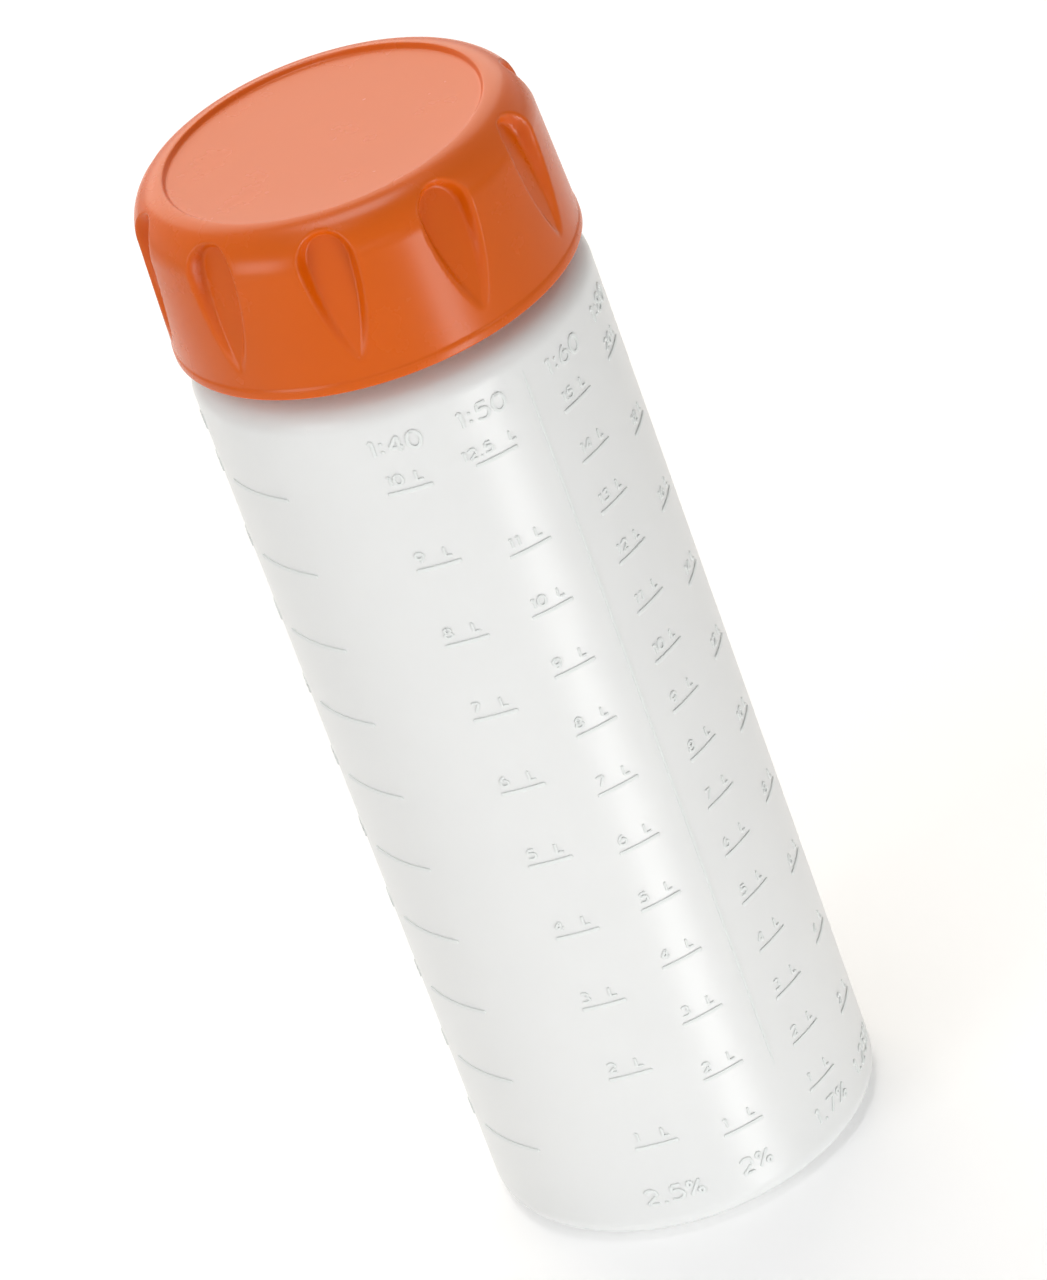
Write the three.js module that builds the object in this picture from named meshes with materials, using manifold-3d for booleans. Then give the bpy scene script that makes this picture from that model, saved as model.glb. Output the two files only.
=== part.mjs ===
// Round 250 ml measuring bottle for oil: a blow-moulded body, a screw cap with
// scooped finger grips and a sealing disc between the two.
// Millimetres, +Z up. The origin is the centre of the base, on the surface it stands on.
// Azimuths are in degrees about +Z, counted from -Y, the side with the mixing scales, towards +X.
import * as THREE from 'three';
import { mergeVertices } from 'three/addons/utils/BufferGeometryUtils.js';
import Module from 'manifold-3d';

// Body
const bodyRadius = 27;
const bodyHeight = 133.9;
const bodyWall = 0.9;
const shoulderFillet = 4;
const shoulderFlat = 0.3;
const baseFillet = 3.5;
const baseRingWidth = 3;
const basePushUp = 4;
const floorThickness = 1;

// Neck and its right-hand thread
const neckHeight = 20.4;
const neckWall = 1.5;
const rimChamfer = 0.5;
const threadPitch = 5;
const threadTurns = 1.5;
const threadDepth = 1.1;
const threadRootWidth = 2;
const threadCrestWidth = 0.9;
const threadBelowRim = 4.8;
const threadRunOut = 20;
const threadStart = 1.2;

// Cap
const capGap = 2;
const threadClearance = 0.4;
const capWall = 2.5;
const capFlare = 0.83;
const capShoulderWidth = 5.2;
const capShoulderHeight = 5.9;
const capTopThickness = 1.8;
const discDepth = 0.6;
const discStep = 0.3;
const capEdgeRound = 0.4;
const capLeadIn = 1.2;
const capLeadInHeight = 2.4;
const sealShelfHeight = 3.6;

// Finger grips scooped out of the cap's side and shoulder
const gripCount = 10;
const gripAzimuth = -11.3;
const gripAboveEdge = 5.9;
const gripLength = 14.8;
const gripRoundEnd = 3.3;
const gripWidth = 5.5;
const gripTilt = 11.5;
const gripFlare = 0.85;
const gripFlareDepth = 1.6;
const gripTipOut = 0.15;

// Sealing disc
const sealThickness = 1.2;
const seatClearance = 0.3;

// Scales raised on the body: the height of a mark follows from the volume below it
const scaleZero = 3.3;
const markWidth = 0.55;
const markHeight = 0.3;
const mixMarkLength = 6.05;
const volumeMarkLength = 12.3;
const volumeMarkStep = 25;
const volumeMarkCount = 10;
const volumeMarkAzimuth = -61.5;
const seamAzimuth = 29.2;
const seamWidth = 0.4;
const seamHeight = 0.2;
const seamFromBase = 7;
const seamBelowShoulder = 0.4;

// How deep a raised feature is rooted in its wall, and how finely round shapes are divided
const rootDepth = 0.3;
const aroundSegments = 64;
const filletSegments = 4;
const facetDivision = 4.5;
const finestDetail = 0.005;

// Mixing scales: litres of fuel that the oil below a mark is for, at one part in `parts`
const mixScales = [
  { parts: 40, azimuth: -11.1, litres: [1, 2, 3, 4, 5, 6, 7, 8, 9, 10] },
  { parts: 50, azimuth: 13.9, litres: [1, 2, 3, 4, 5, 6, 7, 8, 9, 10, 11, 12.5] },
  { parts: 60, azimuth: 43.7, litres: [1, 2, 3, 4, 5, 6, 7, 8, 9, 10, 11, 12, 13, 14, 15] },
  { parts: 80, azimuth: 69.5, litres: [2, 4, 6, 8, 10, 12, 14, 16, 18, 20] },
];

// Heights and radii that follow from the sizes above
const innerRadius = bodyRadius - bodyWall;
const shoulderStart = bodyHeight - shoulderFillet;
const neckRadius = bodyRadius - shoulderFillet - shoulderFlat;
const mouthRadius = neckRadius - neckWall;
const rimHeight = bodyHeight + neckHeight;
const threadTop = rimHeight - threadBelowRim;
const sealBottom = rimHeight + seatClearance;
const capUnderside = sealBottom + sealThickness + seatClearance;
const discFace = capUnderside + capTopThickness;
const capTop = discFace + discDepth;
const capEdge = bodyHeight + capGap;
const capInnerRadius = neckRadius + threadDepth + threadClearance;
const capSideRadius = capInnerRadius + capWall;
const capEdgeRadius = capSideRadius + capFlare;
const capSideTop = capTop - capShoulderHeight;
const sealPocketRadius = neckRadius + 0.2;
const sealRadius = sealPocketRadius - seatClearance;

const wasm = await Module();
wasm.setup();
const { Manifold, Mesh: SolidMesh } = wasm;

// A solid from a closed geometry: shared corners merged, slivers at the poles dropped.
function solidFrom(geometry) {
  const bare = geometry.clone();
  bare.deleteAttribute('normal');
  bare.deleteAttribute('uv');
  const merged = mergeVertices(bare);
  const corners = merged.index.array;
  const kept = [];
  for (let i = 0; i < corners.length; i += 3) {
    const [a, b, c] = corners.slice(i, i + 3);
    if (a !== b && b !== c && c !== a) kept.push(a, b, c);
  }
  return new Manifold(new SolidMesh({
    numProp: 3,
    vertProperties: new Float32Array(merged.attributes.position.array),
    triVerts: new Uint32Array(kept),
  }));
}

// A geometry from a solid, without the slivers that are finer than the finest detail.
function geometryFrom(solid) {
  const mesh = solid.simplify(finestDetail).getMesh();
  const geometry = new THREE.BufferGeometry();
  geometry.setAttribute('position', new THREE.BufferAttribute(mesh.vertProperties, 3));
  geometry.setIndex(new THREE.BufferAttribute(mesh.triVerts, 1));
  geometry.computeVertexNormals();
  return geometry;
}

// Turns a profile of [radius, height] points, given with the material on its left, about +Z.
function turned(profile) {
  const points = profile.map(([radius, height]) => new THREE.Vector2(radius, height));
  return solidFrom(new THREE.LatheGeometry(points, aroundSegments).rotateX(Math.PI / 2));
}

// Points of an elliptical arc in a profile, from angle `from` to angle `to` in degrees.
function arc(centreRadius, centreHeight, semiRadius, semiHeight, from, to) {
  const points = [];
  for (let i = 0; i <= filletSegments; i += 1) {
    const angle = THREE.MathUtils.degToRad(from + ((to - from) * i) / filletSegments);
    points.push([
      centreRadius + semiRadius * Math.cos(angle),
      centreHeight + semiHeight * Math.sin(angle),
    ]);
  }
  return points;
}

// Points of a shallow dome that rises by `rise` from `radius` to the axis.
function dome(radius, height, rise) {
  const points = [];
  for (let i = 0; i <= filletSegments; i += 1) {
    const reach = i / filletSegments;
    points.push([radius * reach, height + rise * (1 - reach * reach)]);
  }
  return points;
}

// Bends a flat geometry round the axis: x runs along the arc, y up and z outwards from `radius`.
function wrapped(geometry, radius, azimuth, height) {
  const bent = geometry.clone();
  const position = bent.attributes.position;
  for (let i = 0; i < position.count; i += 1) {
    const angle = THREE.MathUtils.degToRad(azimuth - 90) + position.getX(i) / radius;
    const reach = radius + position.getZ(i);
    position.setXYZ(i, reach * Math.cos(angle), reach * Math.sin(angle), height + position.getY(i));
  }
  return solidFrom(bent);
}

// A raised bar on the body wall, rooted in it.
function raisedBar(length, width, height, azimuth, middle, lengthSegments) {
  const bar = new THREE.BoxGeometry(length, width, height + rootDepth, lengthSegments, 1, 1);
  bar.translate(0, 0, (height - rootDepth) / 2);
  return wrapped(bar, bodyRadius, azimuth, middle);
}

// One thread ridge of a right-hand screw. It stands out of the wall at `wallRadius`, outwards for
// side 1 and inwards for side -1, ends at height `top` and sinks into the wall at both ends.
function threadRidge(wallRadius, side, top) {
  const crest = threadCrestWidth / 2;
  const flank = (threadRootWidth - threadCrestWidth) / 2 / threadDepth;
  const base = crest + flank * (threadDepth + rootDepth);
  const section = new THREE.Shape([
    new THREE.Vector2(0, -base),
    new THREE.Vector2(rootDepth + threadDepth, -crest),
    new THREE.Vector2(rootDepth + threadDepth, crest),
    new THREE.Vector2(0, base),
  ]);
  const steps = Math.round((threadTurns * aroundSegments) / 2);
  const ridge = new THREE.ExtrudeGeometry(section, { depth: 1, steps, bevelEnabled: false });
  const position = ridge.attributes.position;
  const sweep = threadTurns * 360;
  const sunk = 0.5 * rootDepth / (rootDepth + threadDepth);
  for (let i = 0; i < position.count; i += 1) {
    const turn = position.getZ(i) * sweep;
    const full = Math.min(1, sunk + turn / threadRunOut, sunk + (sweep - turn) / threadRunOut);
    const reach = wallRadius + side * (position.getX(i) * full - rootDepth);
    const angle = THREE.MathUtils.degToRad(threadStart + turn);
    const height = top - threadPitch * threadTurns * (1 - position.getZ(i)) + position.getY(i);
    position.setXYZ(i, reach * Math.cos(angle), reach * Math.sin(angle), height);
  }
  if (side > 0) flipFaces(ridge);
  return solidFrom(ridge);
}

// Turns every face of a geometry without an index the other way round.
function flipFaces(geometry) {
  const position = geometry.attributes.position;
  for (let i = 0; i < position.count; i += 3) {
    const second = new THREE.Vector3().fromBufferAttribute(position, i + 1);
    const third = new THREE.Vector3().fromBufferAttribute(position, i + 2);
    position.setXYZ(i + 1, third.x, third.y, third.z);
    position.setXYZ(i + 2, second.x, second.y, second.z);
  }
}

// The bottle's shell, open at the mouth: push-up base, straight wall, shoulder and neck.
function bodyShell() {
  const footOuter = bodyRadius - baseFillet;
  const footInner = footOuter - baseRingWidth;
  const innerFillet = baseFillet - bodyWall;
  const innerFoot = innerRadius - innerFillet;
  return turned([
    ...dome(footInner, 0, basePushUp),
    ...arc(footOuter, baseFillet, baseFillet, baseFillet, -90, 0),
    ...wallDivisions().map((height) => [bodyRadius, height]),
    ...arc(bodyRadius - shoulderFillet, shoulderStart, shoulderFillet, shoulderFillet, 0, 90),
    [neckRadius, bodyHeight],
    [neckRadius, rimHeight - rimChamfer],
    [neckRadius - rimChamfer, rimHeight],
    [mouthRadius, rimHeight],
    [mouthRadius, bodyHeight - bodyWall],
    ...arc(bodyRadius - shoulderFillet, shoulderStart,
      shoulderFillet - bodyWall, shoulderFillet - bodyWall, 90, 0),
    ...arc(innerFoot, floorThickness + innerFillet, innerFillet, innerFillet, 0, -90),
    ...dome(footInner, floorThickness, basePushUp).reverse(),
  ]);
}

// Height of the oil's surface for a volume in millilitres.
function oilHeight(millilitres) {
  const cubicMillimetres = millilitres * 1000;
  return scaleZero + cubicMillimetres / (Math.PI * innerRadius * innerRadius);
}

// Every mark that lies on the straight wall, with its length, azimuth and height.
function scaleMarks() {
  const marks = [];
  for (let i = 1; i <= volumeMarkCount; i += 1) {
    const height = oilHeight(i * volumeMarkStep);
    marks.push({ length: volumeMarkLength, azimuth: volumeMarkAzimuth, height, segments: 4 });
  }
  for (const { parts, azimuth, litres } of mixScales) {
    for (const litre of litres) {
      const height = oilHeight((litre * 1000) / parts);
      marks.push({ length: mixMarkLength, azimuth, height, segments: 2 });
    }
  }
  return marks.filter(
    ({ height }) => height > baseFillet + markWidth && height < shoulderStart - markWidth,
  );
}

function markBars() {
  return scaleMarks().map(
    ({ length, azimuth, height, segments }) => (
      raisedBar(length, markWidth, markHeight, azimuth, height, segments)),
  );
}

// Heights midway between marks, where the wall's facets are divided.
function wallDivisions() {
  const heights = scaleMarks().map(({ height }) => height).sort((a, b) => a - b);
  const divisions = [];
  for (let i = 1; i < heights.length; i += 1) {
    if (heights[i] - heights[i - 1] > facetDivision) divisions.push((heights[i] + heights[i - 1]) / 2);
  }
  return divisions;
}

// The fine raised lines where the two halves of the mould met.
function mouldSeams() {
  const length = shoulderStart - seamBelowShoulder - seamFromBase;
  const middle = seamFromBase + length / 2;
  return [seamAzimuth, seamAzimuth - 180].map(
    (azimuth) => raisedBar(seamWidth, length, seamHeight, azimuth, middle, 1),
  );
}

function bottleBody() {
  const thread = threadRidge(neckRadius, 1, threadTop);
  return Manifold.union([bodyShell(), thread, ...markBars(), ...mouldSeams()]);
}

// The cap's wall and top plate, with the recessed disc on top and the seal's pocket inside.
function capShell() {
  const shelf = capUnderside - seatClearance - sealThickness;
  return turned([
    [0, capUnderside],
    [sealPocketRadius, capUnderside],
    [sealPocketRadius, shelf],
    [capInnerRadius, shelf - sealShelfHeight],
    [capInnerRadius, capEdge + capLeadInHeight],
    [capInnerRadius + capLeadIn, capEdge],
    ...arc(capEdgeRadius - capEdgeRound, capEdge + capEdgeRound,
      capEdgeRound, capEdgeRound, -90, 0),
    ...arc(capSideRadius - capShoulderWidth, capSideTop,
      capShoulderWidth, capShoulderHeight, 0, 90),
    [capSideRadius - capShoulderWidth - discStep, discFace],
    [0, discFace],
  ]);
}

// The outline of a grip's floor: a point at the origin, widening to a round end at +y.
function gripOutline() {
  const half = gripWidth / 2;
  const straight = gripLength - gripRoundEnd;
  const outline = new THREE.Shape();
  outline.moveTo(0, 0);
  outline.bezierCurveTo(0.58 * half, 0.28 * straight, half, 0.65 * straight, half, straight);
  outline.absellipse(0, straight, half, gripRoundEnd, 0, Math.PI, false, 0);
  outline.bezierCurveTo(-half, 0.65 * straight, -0.58 * half, 0.28 * straight, 0, 0);
  return outline;
}

// The tool that scoops one grip: its flat floor starts on the cap's side and leans in upwards.
function gripCutter(azimuth) {
  const cutter = new THREE.ExtrudeGeometry(gripOutline(), {
    depth: 2 * capWall,
    curveSegments: 6,
    bevelThickness: gripFlareDepth,
    bevelSize: gripFlare,
    bevelSegments: 1,
  });
  const tipShare = gripAboveEdge / (capSideTop - capEdge);
  const tipRadius = capEdgeRadius - capFlare * tipShare;
  cutter.translate(0, 0, gripFlareDepth);
  cutter.rotateX(Math.PI / 2 - THREE.MathUtils.degToRad(gripTilt));
  cutter.translate(0, -tipRadius - gripTipOut, capEdge + gripAboveEdge);
  cutter.rotateZ(THREE.MathUtils.degToRad(azimuth));
  return solidFrom(cutter);
}

function screwCap() {
  const cutters = [];
  for (let i = 0; i < gripCount; i += 1) {
    cutters.push(gripCutter(gripAzimuth + (i * 360) / gripCount));
  }
  const scooped = capShell().subtract(Manifold.union(cutters));
  return scooped.add(threadRidge(capInnerRadius, -1, threadTop - threadPitch / 2));
}

function capSeal() {
  return turned([
    [0, sealBottom],
    [sealRadius, sealBottom],
    [sealRadius, sealBottom + sealThickness],
    [0, sealBottom + sealThickness],
  ]);
}

const milkyPolyethylene = new THREE.MeshStandardMaterial({
  color: 0xe4e8e6,
  roughness: 0.42,
  metalness: 0,
});
const orangePolypropylene = new THREE.MeshStandardMaterial({
  color: 0xcf6218,
  roughness: 0.34,
  metalness: 0,
});
const sealFoam = new THREE.MeshStandardMaterial({
  color: 0xf2f0ea,
  roughness: 0.8,
  metalness: 0,
});

function piece(name, solid, material) {
  const mesh = new THREE.Mesh(geometryFrom(solid), material);
  mesh.name = name;
  return mesh;
}

const bottle = new THREE.Group();
bottle.add(piece('bottle_body', bottleBody(), milkyPolyethylene));
bottle.add(piece('screw_cap', screwCap(), orangePolypropylene));
bottle.add(piece('cap_seal', capSeal(), sealFoam));

export default bottle;
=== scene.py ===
"""A round 250 ml measuring bottle for oil, of milky blow-moulded plastic with an orange screw cap.

Lengths are in metres, +Z is up, and azimuths are in degrees from -Y towards +X.
"""
import math

import bpy
import bmesh
from bpy.props import FloatProperty, FloatVectorProperty, IntProperty, PointerProperty
from mathutils import Matrix, Vector


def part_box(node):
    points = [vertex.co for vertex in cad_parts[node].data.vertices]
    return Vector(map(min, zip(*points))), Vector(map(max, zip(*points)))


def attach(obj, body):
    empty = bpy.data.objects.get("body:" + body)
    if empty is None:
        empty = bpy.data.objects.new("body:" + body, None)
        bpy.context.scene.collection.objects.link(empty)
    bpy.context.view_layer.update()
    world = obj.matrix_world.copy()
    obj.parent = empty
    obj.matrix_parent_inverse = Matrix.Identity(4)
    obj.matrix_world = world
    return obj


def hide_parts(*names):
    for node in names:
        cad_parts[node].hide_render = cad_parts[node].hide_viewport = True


bl_info = {
    "name": "Oil Measuring Bottle",
    "version": (1, 0, 0),
    "blender": (4, 5, 0),
    "location": "View3D > Sidebar > Oil Bottle",
    "description": "Builds a milky measuring bottle with raised scales and an orange screw cap",
    "category": "Object",
}

MM = 0.001

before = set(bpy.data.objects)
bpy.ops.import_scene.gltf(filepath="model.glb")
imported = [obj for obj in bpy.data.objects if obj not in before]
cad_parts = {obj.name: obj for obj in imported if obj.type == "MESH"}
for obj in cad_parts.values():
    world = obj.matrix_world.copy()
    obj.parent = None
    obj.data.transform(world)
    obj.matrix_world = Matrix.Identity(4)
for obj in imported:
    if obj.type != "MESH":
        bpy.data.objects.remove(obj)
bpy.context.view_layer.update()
RIM_HEIGHT = Vector(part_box("bottle_body")[1]).z
CAP_EDGE = Vector(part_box("screw_cap")[0]).z
CAP_TOP = Vector(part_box("screw_cap")[1]).z
SEAL_LOW, SEAL_HIGH = (Vector(corner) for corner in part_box("cap_seal"))


def rgba(code):
    """A linear RGBA colour from an sRGB hex code."""
    channels = [int(code[i:i + 2], 16) / 255 for i in (1, 3, 5)]
    return (*(c / 12.92 if c <= 0.04045 else ((c + 0.055) / 1.055) ** 2.4 for c in channels), 1)


class BodySizes(bpy.types.PropertyGroup):
    """Sizes of the blow-moulded body."""

    radius: FloatProperty(name="Radius", description="Outer radius of the straight wall",
                          default=27 * MM, unit="LENGTH")
    shoulder_height: FloatProperty(name="Shoulder height",
                                   description="Base to the shoulder's top",
                                   default=133.9 * MM, unit="LENGTH")
    wall: FloatProperty(name="Wall", description="Wall thickness", default=0.9 * MM, unit="LENGTH")
    shoulder_round: FloatProperty(name="Shoulder round", description="Radius of the shoulder",
                                  default=4 * MM, unit="LENGTH")
    base_round: FloatProperty(name="Base round", description="Radius of the edge of the base",
                              default=3.5 * MM, unit="LENGTH")
    push_up: FloatProperty(name="Push-up", description="Height of the dome under the base",
                           default=4 * MM, unit="LENGTH")
    ring_width: FloatProperty(name="Ring width", description="Width of the ring it stands on",
                              default=3 * MM, unit="LENGTH")
    neck_radius: FloatProperty(name="Neck radius", description="Outer radius of the neck",
                               default=22.7 * MM, unit="LENGTH")
    neck_wall: FloatProperty(name="Neck wall", description="Wall thickness of the neck",
                             default=1.5 * MM, unit="LENGTH")
    thread_pitch: FloatProperty(name="Thread pitch", description="Lift of the cap in one turn",
                                default=5 * MM, unit="LENGTH")
    thread_depth: FloatProperty(name="Thread depth", description="Height of the thread's ridge",
                                default=1.1 * MM, unit="LENGTH")
    thread_below_rim: FloatProperty(name="Thread below rim", description="Rim to the thread's top",
                                    default=4.8 * MM, unit="LENGTH")
    base_wall: FloatProperty(name="Base wall", description="Wall thickness of the base",
                             default=1 * MM, unit="LENGTH")
    around: IntProperty(name="Divisions", description="Divisions round the body", default=240)


class CapSizes(bpy.types.PropertyGroup):
    """Sizes of the injection-moulded cap."""

    edge_radius: FloatProperty(name="Edge radius", description="Outer radius at the lower edge",
                               default=27.53 * MM, unit="LENGTH")
    side_radius: FloatProperty(name="Side radius", description="Outer radius at the shoulder",
                               default=26.7 * MM, unit="LENGTH")
    shoulder_width: FloatProperty(name="Shoulder width", description="Shoulder, across",
                                  default=5.2 * MM, unit="LENGTH")
    shoulder_height: FloatProperty(name="Shoulder height", description="Shoulder, up",
                                   default=5.9 * MM, unit="LENGTH")
    disc_depth: FloatProperty(name="Disc depth", description="Depth of the disc in the top",
                              default=0.6 * MM, unit="LENGTH")
    inner_radius: FloatProperty(name="Inner radius", description="Radius inside the cap's wall",
                                default=24.2 * MM, unit="LENGTH")
    thread_below_rim: FloatProperty(name="Thread below rim", description="Rim to the thread's top",
                                    default=7.3 * MM, unit="LENGTH")
    grips: IntProperty(name="Grips", description="Number of scooped finger grips", default=10)
    grip_azimuth: FloatProperty(name="Grip azimuth", description="Azimuth of the first grip",
                                default=-11.3)
    grip_above_edge: FloatProperty(name="Grip above edge", description="Edge to the grip's point",
                                   default=4.5 * MM, unit="LENGTH")
    grip_length: FloatProperty(name="Grip length", description="Point to round end",
                               default=16.3 * MM, unit="LENGTH")
    grip_width: FloatProperty(name="Grip width", description="Width of the grip's floor",
                              default=5.5 * MM, unit="LENGTH")
    grip_lean: FloatProperty(name="Grip lean", description="Lean of the grip's floor, in degrees",
                             default=11.5)
    grip_flare: FloatProperty(name="Grip flare", description="Width of the grip's sloping wall",
                              default=1.05 * MM, unit="LENGTH")


class MarkSizes(bpy.types.PropertyGroup):
    """Sizes of the raised scales."""

    stroke: FloatProperty(name="Stroke", description="Width of a numeral's stroke",
                          default=0.34 * MM, unit="LENGTH")
    heading_stroke: FloatProperty(name="Heading stroke", description="Width of a heading's stroke",
                                  default=0.44 * MM, unit="LENGTH")
    bar_width: FloatProperty(name="Bar width", description="Width of a mark",
                             default=0.55 * MM, unit="LENGTH")
    bar_length: FloatProperty(name="Bar length", description="Length of a mixing mark",
                              default=6.05 * MM, unit="LENGTH")
    long_bar: FloatProperty(name="Long bar", description="Length of a volume mark",
                            default=12.3 * MM, unit="LENGTH")
    rise: FloatProperty(name="Rise", description="How far a mark stands out of the wall",
                        default=0.16 * MM, unit="LENGTH")
    numeral: FloatProperty(name="Numeral", description="Height of a numeral",
                           default=1.45 * MM, unit="LENGTH")
    heading: FloatProperty(name="Heading", description="Height of a heading's numeral",
                           default=2.35 * MM, unit="LENGTH")
    scale_zero: FloatProperty(name="Scale zero", description="Height of the empty line",
                              default=3.3 * MM, unit="LENGTH")


class Colours(bpy.types.PropertyGroup):
    """Colours of the materials in plain light."""

    milky: FloatVectorProperty(name="Milky plastic", description="Bottle", subtype="COLOR",
                               size=4, min=0, max=1, default=rgba("#E9EAE9"))
    orange: FloatVectorProperty(name="Orange plastic", description="Cap", subtype="COLOR",
                                size=4, min=0, max=1, default=rgba("#D65C00"))
    foam: FloatVectorProperty(name="Foam", description="Sealing disc", subtype="COLOR",
                              size=4, min=0, max=1, default=rgba("#F2F0EA"))
    paper: FloatVectorProperty(name="Paper", description="Floor", subtype="COLOR",
                               size=4, min=0, max=1, default=rgba("#FCFCFC"))


def add_node(tree, kind, settings=None, inputs=None):
    """Adds a node, sets its properties, and gives its inputs values or links."""
    node = tree.nodes.new(kind)
    for name, value in (settings or {}).items():
        setattr(node, name, value)
    for name, value in (inputs or {}).items():
        socket = node.inputs[name]
        if isinstance(value, bpy.types.NodeSocket):
            tree.links.new(value, socket)
        else:
            socket.default_value = value
    return node


def mottled(tree, colour, pattern, least, most):
    """A colour that gets a little darker and lighter with a pattern."""
    shade = add_node(tree, "ShaderNodeMapRange", inputs={
        "Value": pattern, "To Min": least, "To Max": most})
    mixed = add_node(tree, "ShaderNodeMix", {"data_type": "RGBA", "blend_type": "MULTIPLY"}, {
        "Factor": 1.0})
    mixed.inputs[6].default_value = colour
    tree.links.new(shade.outputs["Result"], mixed.inputs[7])
    return mixed.outputs[2]


def new_material(name):
    """A material and its empty node tree."""
    material = bpy.data.materials.new(name)
    material.use_nodes = True
    tree = material.node_tree
    tree.nodes.clear()
    return material, tree


def finish_material(tree, shader):
    """Sends a shader to the material's output."""
    add_node(tree, "ShaderNodeOutputMaterial", inputs={"Surface": shader.outputs[0]})


def milky_polyethylene(colour):
    # Natural high-density polyethylene, blow-moulded: light goes into the wall and comes out soft
    # and faintly green, and the skin, which copies a blasted mould, has a broad satin sheen.
    material, tree = new_material("milky_polyethylene")
    place = add_node(tree, "ShaderNodeTexCoord").outputs["Object"]
    cloud = add_node(tree, "ShaderNodeTexNoise", inputs={
        "Vector": place, "Scale": 1 / (14 * MM), "Detail": 3.0, "Roughness": 0.5})
    tint = mottled(tree, colour, cloud.outputs["Fac"], 0.98, 1.02)
    swell = add_node(tree, "ShaderNodeTexNoise", inputs={
        "Vector": place, "Scale": 1 / (9 * MM), "Detail": 1.0})
    waves = add_node(tree, "ShaderNodeBump", inputs={
        "Height": swell.outputs["Fac"], "Strength": 0.10, "Distance": 0.5 * MM})
    # The blasted texture is finer than the render shows, so its grain is drawn at 0.25 mm.
    grain = add_node(tree, "ShaderNodeTexNoise", inputs={
        "Vector": place, "Scale": 1 / (0.25 * MM), "Detail": 2.0})
    skin = add_node(tree, "ShaderNodeBump", inputs={
        "Height": grain.outputs["Fac"], "Strength": 0.22, "Distance": 0.02 * MM,
        "Normal": waves.outputs["Normal"]})
    gloss = add_node(tree, "ShaderNodeMapRange", inputs={
        "Value": cloud.outputs["Fac"], "To Min": 0.28, "To Max": 0.36})
    shader = add_node(tree, "ShaderNodeBsdfPrincipled", inputs={
        "Base Color": tint, "Roughness": gloss.outputs["Result"], "IOR": 1.4,
        "Subsurface Weight": 0.3, "Subsurface Radius": (1.0, 1.0, 0.95),
        "Subsurface Scale": 0.8 * MM, "Normal": skin.outputs["Normal"]})
    finish_material(tree, shader)
    return material


def orange_polypropylene(colour):
    # Injection-moulded polypropylene, coloured all through: semi-gloss, with the faint orange peel
    # of a polished mould, so that reflections have soft and slightly ragged edges.
    material, tree = new_material("orange_polypropylene")
    place = add_node(tree, "ShaderNodeTexCoord").outputs["Object"]
    flow = add_node(tree, "ShaderNodeTexNoise", inputs={
        "Vector": place, "Scale": 1 / (8 * MM), "Detail": 4.0, "Roughness": 0.6})
    tint = mottled(tree, colour, flow.outputs["Fac"], 0.97, 1.03)
    peel = add_node(tree, "ShaderNodeTexNoise", inputs={
        "Vector": place, "Scale": 1 / (0.7 * MM), "Detail": 2.0})
    skin = add_node(tree, "ShaderNodeBump", inputs={
        "Height": peel.outputs["Fac"], "Strength": 0.07, "Distance": 0.03 * MM})
    gloss = add_node(tree, "ShaderNodeMapRange", inputs={
        "Value": flow.outputs["Fac"], "To Min": 0.25, "To Max": 0.29})
    shader = add_node(tree, "ShaderNodeBsdfPrincipled", inputs={
        "Base Color": tint, "Roughness": gloss.outputs["Result"], "IOR": 1.33,
        "Subsurface Weight": 0.08, "Subsurface Radius": (1.0, 0.4, 0.1),
        "Subsurface Scale": 0.8 * MM, "Normal": skin.outputs["Normal"]})
    finish_material(tree, shader)
    return material


def polyethylene_foam(colour):
    # Closed-cell polyethylene foam, sliced and punched: matt, off-white, with fine open pores.
    material, tree = new_material("polyethylene_foam")
    place = add_node(tree, "ShaderNodeTexCoord").outputs["Object"]
    pores = add_node(tree, "ShaderNodeTexVoronoi", inputs={
        "Vector": place, "Scale": 1 / (0.5 * MM)})
    tint = mottled(tree, colour, pores.outputs["Distance"], 1.0, 0.9)
    skin = add_node(tree, "ShaderNodeBump", inputs={
        "Height": pores.outputs["Distance"], "Strength": 0.3, "Distance": 0.05 * MM})
    shader = add_node(tree, "ShaderNodeBsdfPrincipled", inputs={
        "Base Color": tint, "Roughness": 0.85, "IOR": 1.45,
        "Normal": skin.outputs["Normal"]})
    finish_material(tree, shader)
    return material


def background_seen(tree):
    """1 where the camera sees the background, straight, mirrored or through glass; otherwise 0."""
    path = add_node(tree, "ShaderNodeLightPath")
    clear = add_node(tree, "ShaderNodeMath", {"operation": "MAXIMUM"}, {
        0: path.outputs["Is Camera Ray"], 1: path.outputs["Is Transmission Ray"]})
    return add_node(tree, "ShaderNodeMath", {"operation": "MAXIMUM"}, {
        0: clear.outputs[0], 1: path.outputs["Is Glossy Ray"]}).outputs[0]


def studio_paper(colour):
    # Matt white paper roll: it keeps the object's shadow, and shows white to the camera and in
    # whatever mirrors it.
    material, tree = new_material("studio_paper")
    fibre = add_node(tree, "ShaderNodeTexNoise", inputs={"Scale": 400.0, "Detail": 2.0})
    tint = mottled(tree, colour, fibre.outputs["Fac"], 0.99, 1.0)
    diffuse = add_node(tree, "ShaderNodeBsdfDiffuse", inputs={"Color": tint})
    lift = add_node(tree, "ShaderNodeMath", {"operation": "MULTIPLY"}, {
        0: background_seen(tree), 1: 0.19})
    glow = add_node(tree, "ShaderNodeEmission", inputs={
        "Color": (1, 1, 1, 1), "Strength": lift.outputs[0]})
    paper = add_node(tree, "ShaderNodeAddShader", inputs={
        0: diffuse.outputs[0], 1: glow.outputs[0]})
    finish_material(tree, paper)
    return material


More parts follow.
